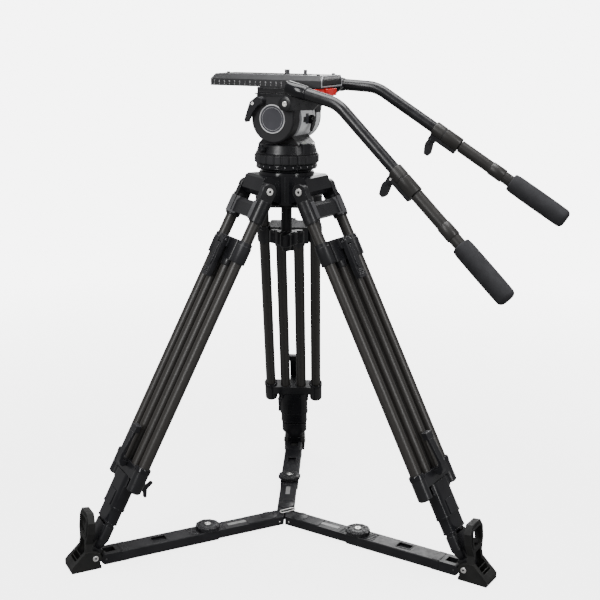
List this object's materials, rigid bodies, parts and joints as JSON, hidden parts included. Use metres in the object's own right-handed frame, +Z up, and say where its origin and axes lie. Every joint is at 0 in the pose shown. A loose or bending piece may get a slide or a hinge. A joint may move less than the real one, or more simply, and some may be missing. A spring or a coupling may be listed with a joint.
{
  "type": "tripod with fluid head",
  "caption": "Camera tripod with double-tube legs, ground spreader, bowl-mounted fluid head, sliding plate and two pan bars.",
  "frame": {"origin": "on the axis of the 3/8 inch camera screw, which is also the crown's axis, at the face of the plate that the camera rests on", "axes": "+Z up; the legs stand at 90, 210 and 330 degrees about Z; the head's rear is at -23.8 degrees"},
  "size_m": [0.9429, 0.79, 0.9285],
  "materials": {
    "casting": "satin",
    "carbon_tube": "satin",
    "plastic": "fine texture",
    "rubber": "matte",
    "plate_grey": "anodised",
    "steel": "polished",
    "red_lever": "gloss",
    "rod": "satin anodised",
    "foam": "matte foam"
  },
  "bodies": {
    "crown": {"crown": "casting"},
    "ball": {"pan_base": "casting"},
    "bowl_knob": {"bowl_clamp": "plastic"},
    "drag_ring": {"drag_ring": "plastic"},
    "pan": {"head_body": "casting"},
    "tilt": {"side_casings": "casting", "plate_carrier": "casting"},
    "plate": {"camera_plate": "plate_grey", "camera_screws": "steel"},
    "release": {"release_lever": "red_lever"},
    "tilt_lock": {"tilt_brake": "plastic"},
    "pan_lock": {"pan_brake": "plastic"},
    "left_leg": {"left_leg_yoke": "casting", "left_upper_tubes": "carbon_tube", "left_tube_bridge": "casting"},
    "left_middle": {"left_slider_clamp": "casting", "left_middle_tubes": "carbon_tube", "left_lower_clamp": "casting"},
    "left_lower": {"left_lower_leg": "casting", "left_foot": "rubber"},
    "left_upper_lever": {"left_upper_lever": "plastic"},
    "left_lower_lever": {"left_lower_lever": "plastic"},
    "left_arm_end": {"left_arm_end": "plastic"},
    "left_arm_outer": {"left_arm_outer": "plastic"},
    "left_arm_inner": {"left_arm_inner": "plastic"},
    "left_wing": {"left_wing_knob": "plastic"},
    "right_leg": {"right_leg_yoke": "casting", "right_upper_tubes": "carbon_tube", "right_tube_bridge": "casting"},
    "right_middle": {"right_slider_clamp": "casting", "right_middle_tubes": "carbon_tube", "right_lower_clamp": "casting"},
    "right_lower": {"right_lower_leg": "casting", "right_foot": "rubber"},
    "right_upper_lever": {"right_upper_lever": "plastic"},
    "right_lower_lever": {"right_lower_lever": "plastic"},
    "right_arm_end": {"right_arm_end": "plastic"},
    "right_arm_outer": {"right_arm_outer": "plastic"},
    "right_arm_inner": {"right_arm_inner": "plastic"},
    "right_wing": {"right_wing_knob": "plastic"},
    "back_leg": {"back_leg_yoke": "casting", "back_upper_tubes": "carbon_tube", "back_tube_bridge": "casting"},
    "back_middle": {"back_slider_clamp": "casting", "back_middle_tubes": "carbon_tube", "back_lower_clamp": "casting"},
    "back_lower": {"back_lower_leg": "casting", "back_foot": "rubber"},
    "back_upper_lever": {"back_upper_lever": "plastic"},
    "back_lower_lever": {"back_lower_lever": "plastic"},
    "back_arm_end": {"back_arm_end": "plastic"},
    "back_arm_outer": {"back_arm_outer": "plastic"},
    "back_arm_inner": {"back_arm_inner": "plastic"},
    "back_wing": {"back_wing_knob": "plastic"},
    "left_bar": {"left_pan_bar": "casting"},
    "left_rod": {"left_bar_rod": "rod", "left_bar_grip": "foam"},
    "right_bar": {"right_pan_bar": "casting"},
    "right_rod": {"right_bar_rod": "rod", "right_bar_grip": "foam"}
  },
  "joints": [
    {"name": "left_leg_fold", "type": "hinge", "parent": "crown", "child": "left_leg", "pos_m": [-0.05456, -0.0315, -0.209], "axis": [0.5, -0.866, 0], "range_deg": [0, 16.5]},
    {"name": "left_middle_slide", "type": "slide", "parent": "left_leg", "child": "left_middle", "axis": [-0.3985, -0.2301, -0.8878], "range_m": [0, 0.16]},
    {"name": "left_lower_slide", "type": "slide", "parent": "left_middle", "child": "left_lower", "axis": [-0.3985, -0.2301, -0.8878], "range_m": [0, 0.16]},
    {"name": "left_upper_lever_turn", "type": "hinge", "parent": "left_middle", "child": "left_upper_lever", "pos_m": [-0.11575, -0.06683, -0.30078], "axis": [-0.5, 0.866, 0], "range_deg": [0, 70]},
    {"name": "left_lower_lever_turn", "type": "hinge", "parent": "left_leg", "child": "left_lower_lever", "pos_m": [-0.30187, -0.17429, -0.71539], "axis": [-0.5, 0.866, 0], "range_deg": [0, 70]},
    {"name": "left_wing_turn", "type": "hinge", "parent": "left_middle", "child": "left_wing", "pos_m": [-0.27189, -0.19278, -0.75897], "axis": [0.7689, 0.4439, -0.4602], "range_deg": [-90, 0]},
    {"name": "left_arm_fold", "type": "hinge", "parent": "left_lower", "child": "left_arm_end", "pos_m": [-0.34295, -0.198, -0.905], "axis": [0.5, -0.866, 0], "range_deg": [0, 58.6]},
    {"name": "left_arm_extend", "type": "slide", "parent": "left_arm_end", "child": "left_arm_outer", "axis": [0.866, 0.5, 0], "range_m": [0, 0.1473]},
    {"name": "left_arm_retract", "type": "slide", "parent": "left_arm_outer", "child": "left_arm_inner", "axis": [-0.866, -0.5, 0], "range_m": [0, 0.1701]},
    {"name": "right_leg_fold", "type": "hinge", "parent": "crown", "child": "right_leg", "pos_m": [0.05456, -0.0315, -0.209], "axis": [0.5, 0.866, 0], "range_deg": [0, 16.5]},
    {"name": "right_middle_slide", "type": "slide", "parent": "right_leg", "child": "right_middle", "axis": [0.3985, -0.2301, -0.8878], "range_m": [0, 0.16]},
    {"name": "right_lower_slide", "type": "slide", "parent": "right_middle", "child": "right_lower", "axis": [0.3985, -0.2301, -0.8878], "range_m": [0, 0.16]},
    {"name": "right_upper_lever_turn", "type": "hinge", "parent": "right_middle", "child": "right_upper_lever", "pos_m": [0.11575, -0.06683, -0.30078], "axis": [-0.5, -0.866, 0], "range_deg": [0, 70]},
    {"name": "right_lower_lever_turn", "type": "hinge", "parent": "right_leg", "child": "right_lower_lever", "pos_m": [0.30187, -0.17429, -0.71539], "axis": [-0.5, -0.866, 0], "range_deg": [0, 70]},
    {"name": "right_wing_turn", "type": "hinge", "parent": "right_middle", "child": "right_wing", "pos_m": [0.3029, -0.13908, -0.75897], "axis": [-0.7689, 0.4439, -0.4602], "range_deg": [-90, 0]},
    {"name": "right_arm_fold", "type": "hinge", "parent": "right_lower", "child": "right_arm_end", "pos_m": [0.34295, -0.198, -0.905], "axis": [0.5, 0.866, 0], "range_deg": [0, 58.6]},
    {"name": "right_arm_extend", "type": "slide", "parent": "right_arm_end", "child": "right_arm_outer", "axis": [-0.866, 0.5, 0], "range_m": [0, 0.1473]},
    {"name": "right_arm_retract", "type": "slide", "parent": "right_arm_outer", "child": "right_arm_inner", "axis": [0.866, -0.5, 0], "range_m": [0, 0.1701]},
    {"name": "back_leg_fold", "type": "hinge", "parent": "crown", "child": "back_leg", "pos_m": [0, 0.063, -0.209], "axis": [-1, 0, 0], "range_deg": [0, 16.5]},
    {"name": "back_middle_slide", "type": "slide", "parent": "back_leg", "child": "back_middle", "axis": [0, 0.4602, -0.8878], "range_m": [0, 0.16]},
    {"name": "back_lower_slide", "type": "slide", "parent": "back_middle", "child": "back_lower", "axis": [0, 0.4602, -0.8878], "range_m": [0, 0.16]},
    {"name": "back_upper_lever_turn", "type": "hinge", "parent": "back_middle", "child": "back_upper_lever", "pos_m": [0, 0.13366, -0.30078], "axis": [1, 0, 0], "range_deg": [0, 70]},
    {"name": "back_lower_lever_turn", "type": "hinge", "parent": "back_leg", "child": "back_lower_lever", "pos_m": [0, 0.34857, -0.71539], "axis": [1, 0, 0], "range_deg": [0, 70]},
    {"name": "back_wing_turn", "type": "hinge", "parent": "back_middle", "child": "back_wing", "pos_m": [-0.031, 0.33186, -0.75897], "axis": [0, -0.8878, -0.4602], "range_deg": [-90, 0]},
    {"name": "back_arm_fold", "type": "hinge", "parent": "back_lower", "child": "back_arm_end", "pos_m": [0, 0.396, -0.905], "axis": [-1, 0, 0], "range_deg": [0, 58.6]},
    {"name": "back_arm_extend", "type": "slide", "parent": "back_arm_end", "child": "back_arm_outer", "axis": [0, -1, 0], "range_m": [0, 0.1473]},
    {"name": "back_arm_retract", "type": "slide", "parent": "back_arm_outer", "child": "back_arm_inner", "axis": [0, 1, 0], "range_m": [0, 0.1701]},
    {"name": "head_level", "type": "hinge", "parent": "crown", "child": "ball", "pos_m": [0, 0, -0.1785], "axis": [0.4035, 0.915, 0], "range_deg": [-5, 5]},
    {"name": "bowl_clamp_turn", "type": "hinge", "parent": "ball", "child": "bowl_knob", "pos_m": [0, 0, -0.3085], "axis": [0, 0, 1], "continuous": true},
    {"name": "drag_ring_turn", "type": "hinge", "parent": "ball", "child": "drag_ring", "pos_m": [0, 0, -0.1535], "axis": [0, 0, 1], "range_deg": [-60, 60]},
    {"name": "pan", "type": "hinge", "parent": "ball", "child": "pan", "pos_m": [0, 0, -0.1385], "axis": [0, 0, 1], "continuous": true},
    {"name": "tilt", "type": "hinge", "parent": "pan", "child": "tilt", "pos_m": [0, 0, -0.0775], "axis": [0.4035, 0.915, 0], "range_deg": [-70, 20]},
    {"name": "plate_slide", "type": "slide", "parent": "tilt", "child": "plate", "axis": [0.915, -0.4035, 0], "range_m": [-0.04, 0.05]},
    {"name": "release_turn", "type": "hinge", "parent": "tilt", "child": "release", "pos_m": [0.07841, -0.01054, -0.0305], "axis": [0, 0, 1], "range_deg": [0, 30]},
    {"name": "tilt_brake_turn", "type": "hinge", "parent": "tilt", "child": "tilt_lock", "pos_m": [-0.04434, -0.04602, -0.0455], "axis": [-0.4035, -0.915, 0], "range_deg": [0, 60]},
    {"name": "pan_brake_turn", "type": "hinge", "parent": "pan", "child": "pan_lock", "pos_m": [-0.03359, -0.03359, -0.1345], "axis": [-0.7071, -0.7071, 0], "range_deg": [0, 60]},
    {"name": "left_bar_tilt", "type": "hinge", "parent": "tilt", "child": "left_bar", "pos_m": [0.00507, -0.06781, -0.0485], "axis": [0.4035, 0.915, 0], "range_deg": [-60, 8]},
    {"name": "left_bar_slide", "type": "slide", "parent": "left_bar", "child": "left_rod", "axis": [0.6417, -0.3631, -0.6756], "range_m": [0, 0.11]},
    {"name": "right_bar_tilt", "type": "hinge", "parent": "tilt", "child": "right_bar", "pos_m": [0.05349, 0.04198, -0.0485], "axis": [0.4035, 0.915, 0], "range_deg": [-60, 8]},
    {"name": "right_bar_slide", "type": "slide", "parent": "right_bar", "child": "right_rod", "axis": [0.8061, -0.2635, -0.5299], "range_m": [0, 0.11]}
  ],
  "couplings": [
    {"joint": "left_arm_fold", "follows": "left_leg_fold", "ratio": 3.55},
    {"joint": "left_arm_retract", "follows": "left_leg_fold", "m_per_rad": 0.59032},
    {"joint": "left_lower_slide", "follows": "left_middle_slide", "ratio": 1},
    {"joint": "left_arm_extend", "follows": "left_middle_slide", "ratio": 0.92039},
    {"joint": "right_leg_fold", "follows": "left_leg_fold", "ratio": 1},
    {"joint": "right_middle_slide", "follows": "left_middle_slide", "ratio": 1},
    {"joint": "right_arm_fold", "follows": "left_leg_fold", "ratio": 3.55},
    {"joint": "right_arm_retract", "follows": "left_leg_fold", "m_per_rad": 0.59032},
    {"joint": "right_lower_slide", "follows": "left_middle_slide", "ratio": 1},
    {"joint": "right_arm_extend", "follows": "left_middle_slide", "ratio": 0.92039},
    {"joint": "back_leg_fold", "follows": "left_leg_fold", "ratio": 1},
    {"joint": "back_middle_slide", "follows": "left_middle_slide", "ratio": 1},
    {"joint": "back_arm_fold", "follows": "left_leg_fold", "ratio": 3.55},
    {"joint": "back_arm_retract", "follows": "left_leg_fold", "m_per_rad": 0.59032},
    {"joint": "back_lower_slide", "follows": "left_middle_slide", "ratio": 1},
    {"joint": "back_arm_extend", "follows": "left_middle_slide", "ratio": 0.92039}
  ]
}
